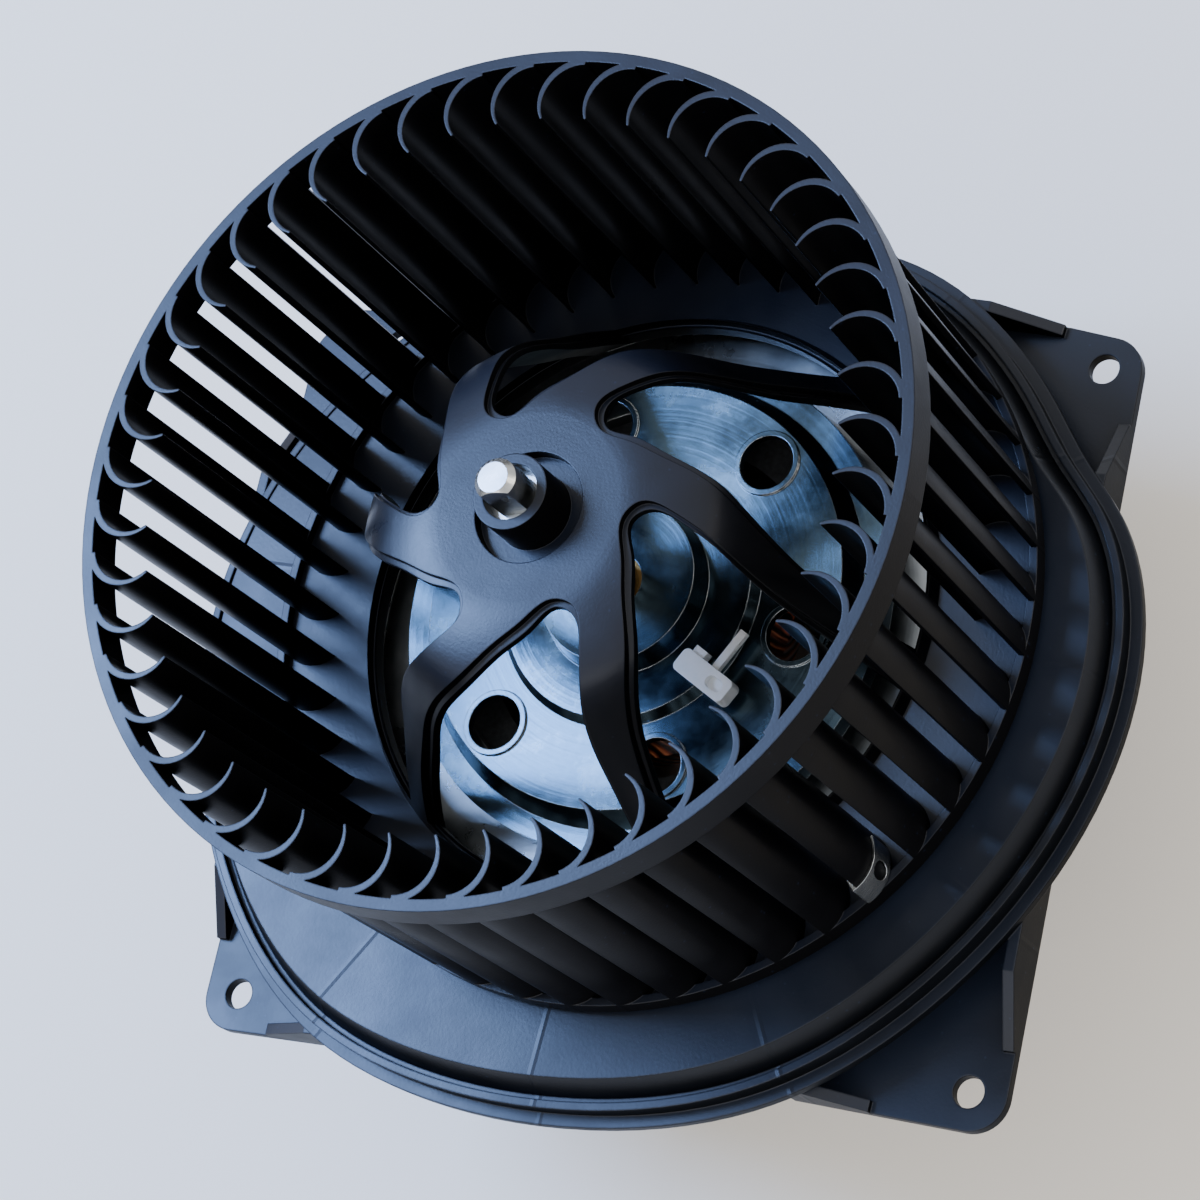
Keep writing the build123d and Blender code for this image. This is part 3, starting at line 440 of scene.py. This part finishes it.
def enamelled_wire():
    """Enamelled copper wire 0.8 mm thick: round strands side by side, reddish brown."""
    made, tree, place = start_material("copper_wire_enamelled")
    centred = add_node(tree, "VectorMath", {"operation": "SUBTRACT", 1: tuple(axle)}, {0: place})
    bent = add_node(tree, "TexNoise", {"Scale": 90.0, "Detail": 2.0}, {"Vector": centred.outputs["Vector"]})
    shifted = add_node(tree, "VectorMath", {"operation": "SCALE", "Scale": 0.004}, {0: bent.outputs["Color"]})
    path = add_node(tree, "VectorMath", {"operation": "ADD"},
                    {0: centred.outputs["Vector"], 1: shifted.outputs["Vector"]})
    strands = add_node(tree, "TexWave", {"wave_type": "BANDS", "bands_direction": "DIAGONAL",
                                         "wave_profile": "SIN", "Scale": 230.0, "Distortion": 3.0,
                                         "Detail": 1.0}, {"Vector": path.outputs["Vector"]})
    # the tone runs dark in the troughs between strands and light on their crests: painted shade and painted
    # highlight across each round strand
    tone = ramp(tree, strands.outputs["Fac"], [(0.0, srgb("#3c150b")), (0.4, srgb("#8d3f21")),
                                               (1.0, srgb("#c06a41"))])
    relief = add_node(tree, "Bump", {"Strength": 1.0, "Distance": 0.0004}, {"Height": strands.outputs["Fac"]})
    close_material(tree, {"Metallic": 0.85, "Roughness": 0.30, "Coat Weight": 0.6, "Coat Roughness": 0.2},
                   {"Base Color": tone, "Normal": relief.outputs["Normal"]})
    return made


def pressed_paper():
    """Pressed slot paper, fibres about 0.4 mm as drawn."""
    made, tree, place = start_material("slot_paper_pressed")
    fibres = add_node(tree, "TexNoise", {"Scale": 1100.0, "Detail": 5.0, "Distortion": 1.2},
                      {"Vector": place})
    tone = ramp(tree, fibres.outputs["Fac"], [(0.3, srgb("#b9ab86")), (0.7, srgb("#d9cda9"))])
    relief = add_node(tree, "Bump", {"Strength": 0.3, "Distance": 0.00005}, {"Height": fibres.outputs["Fac"]})
    close_material(tree, {"Roughness": 0.8}, {"Base Color": tone, "Normal": relief.outputs["Normal"]})
    return made


finish_node("armature_core", lamination_stack())
finish_node("armature_winding", enamelled_wire())
finish_node("slot_insulation", pressed_paper())
finish_node("commutator_body", phenolic)
finish_node("commutator_bars", stamped_brass("copper_turned", "#d08b62", "#9a5434", 0.28))
finish_node("thrust_washers", phenolic)
finish_node("snap_rings", spring_steel)

# ------------------------------------------------------------------ shaft
# Shaft of ground and hardened steel, 8 mm across, its end turned with a chamfer and milled
# flat for the hub. Grinding leaves it bright with fine rings.


def ground_steel():
    """Ground steel: bright, rings 0.15 mm apart around the axle, faint smears."""
    made, tree, place = start_material("steel_ground_bright")
    edge, rounded = soft_edges(tree, 0.15)
    parts = add_node(tree, "SeparateXYZ", None, {"Vector": place})
    rings = add_node(tree, "Math", {"operation": "MULTIPLY", 1: 6600.0}, {0: parts.outputs["Z"]})
    lines = add_node(tree, "TexNoise", {"noise_dimensions": "1D", "Scale": 1.0, "Detail": 2.0},
                     {"W": rings.outputs["Value"]})
    smears = add_node(tree, "TexNoise", {"Scale": 300.0, "Detail": 3.0}, {"Vector": place})
    tone = ramp(tree, smears.outputs["Fac"], [(0.3, srgb("#b9bbb9")), (0.7, srgb("#dcdddb"))])
    rough = add_node(tree, "MapRange", {"To Min": 0.16, "To Max": 0.34}, {"Value": smears.outputs["Fac"]})
    relief = add_node(tree, "Bump", {"Strength": 0.35, "Distance": 0.00003},
                      {"Height": lines.outputs["Fac"], "Normal": rounded})
    close_material(tree, {"Metallic": 1.0},
                   {"Base Color": tone, "Roughness": rough.outputs["Result"],
                    "Normal": relief.outputs["Normal"]})
    return made


steel = ground_steel()
finish_node("motor_shaft", steel)
finish_node("hub_insert", steel)

# ------------------------------------------------------------------ blower wheel
# One moulding of glass-filled polyamide: rim, forward-curved blades, base ring and a hub
# with swept spokes. The skin is satin black; edges that rub in handling turn a little
# paler, and fine dust settles on the rim and the hub, mixed with a painted bluish sheen
# of the light from above on every upward face.
# its bluish third colour is dust and also a painted sheen on faces that look up
finish_node("blower_wheel", moulded_black(
    "polyamide_glass_filled_black", "#050506", "#0a0a0c", "#36435e", 0.33, 0.25, 0.35,
    lambda tree, place: ring_marks(tree, place, 0.8), 0.06))

# ------------------------------------------------------------------ balance clips
# Small clips of spring strip pushed over two blades when the wheel was balanced.
finish_node("balance_clips", rolled_spring_steel("spring_strip_clip", "#d0d2cf", "#a3a7a6"))

# ------------------------------------------------------------------ cable tie
# Natural nylon tie head lying on the end plate: milky, slightly see-through, waxy.


def natural_nylon():
    """Natural polyamide: milky white, light scatters about 1 mm into it."""
    made, tree, place = start_material("nylon_natural")
    edge, rounded = soft_edges(tree, 0.25)
    cloud = add_node(tree, "TexNoise", {"Scale": 400.0, "Detail": 3.0}, {"Vector": place})
    tone = ramp(tree, cloud.outputs["Fac"], [(0.3, srgb("#f4f8f8")), (0.7, srgb("#ffffff"))])
    close_material(tree, {"Roughness": 0.38, "IOR": 1.53, "Subsurface Weight": 0.15,
                          "Subsurface Radius": (0.0012, 0.0012, 0.0010), "Subsurface Scale": 1.0},
                   {"Base Color": tone, "Normal": rounded})
    return made


finish_node("cable_tie", natural_nylon())

# ------------------------------------------------------------------ the setting
# Plain pale floor under the motor, a wide soft light from above with a cold cast, and two
# softer ones from the sides.
low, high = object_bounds()
floor_gap = 0.002
floor_mesh = bpy.data.meshes.new("floor")
reach, floor_level = 6.0, low.z - floor_gap
floor_mesh.from_pydata([(-reach, -reach, floor_level), (reach, -reach, floor_level),
                        (reach, reach, floor_level), (-reach, reach, floor_level)], [], [(0, 1, 2, 3)])
floor = bpy.data.objects.new("floor", floor_mesh)
bpy.context.scene.collection.objects.link(floor)
made, tree, place = start_material("floor_pale")
close_material(tree, {"Base Color": srgb("#fff8ec"), "Roughness": 0.9}, {})
floor_mesh.materials.append(made)

world = bpy.data.worlds.new("studio")
bpy.context.scene.world = world
world.use_nodes = True
room = world.node_tree.nodes["Background"].inputs
room["Color"].default_value = (0.98, 0.98, 1.0, 1.0)
room["Strength"].default_value = 0.95


def soft_light(name, place, target, size, power, colour):
    """Square soft light at a place, turned towards a target."""
    lamp = bpy.data.lights.new(name, "AREA")
    lamp.shape, lamp.size, lamp.energy, lamp.color = "SQUARE", size, power, colour
    made = bpy.data.objects.new(name, lamp)
    made.location = place
    made.rotation_euler = (Vector(target) - Vector(place)).to_track_quat("-Z", "Y").to_euler()
    bpy.context.scene.collection.objects.link(made)


middle = (low + high) / 2
soft_light("sky", (-0.85, 0.12, 1.00), middle, 0.6, 34.0, (0.30, 0.50, 1.0))
soft_light("side", (0.9, 0.25, 0.45), middle, 0.5, 2.5, (1.0, 0.92, 0.82))
soft_light("front", (0.05, -0.9, 0.6), middle, 0.6, 2.5, (0.95, 0.95, 1.0))

camera_data = bpy.data.cameras.new("camera")
camera_data.lens, camera_data.sensor_width = 109.38, 36.0
camera_data.clip_start, camera_data.clip_end = 0.05, 20.0
camera = bpy.data.objects.new("camera", camera_data)
right = Vector((0.885290, 0.210854, -0.414490))
down = Vector((0.063060, -0.937499, -0.342226))
forward = Vector((-0.460744, 0.276832, -0.843255))
turned = Matrix((right, -down, -forward)).transposed().to_4x4()
eye = (0.31540, -0.18286, 0.60952)
camera.matrix_world = Matrix.Translation(eye) @ turned
bpy.context.scene.collection.objects.link(camera)
bpy.context.scene.camera = camera
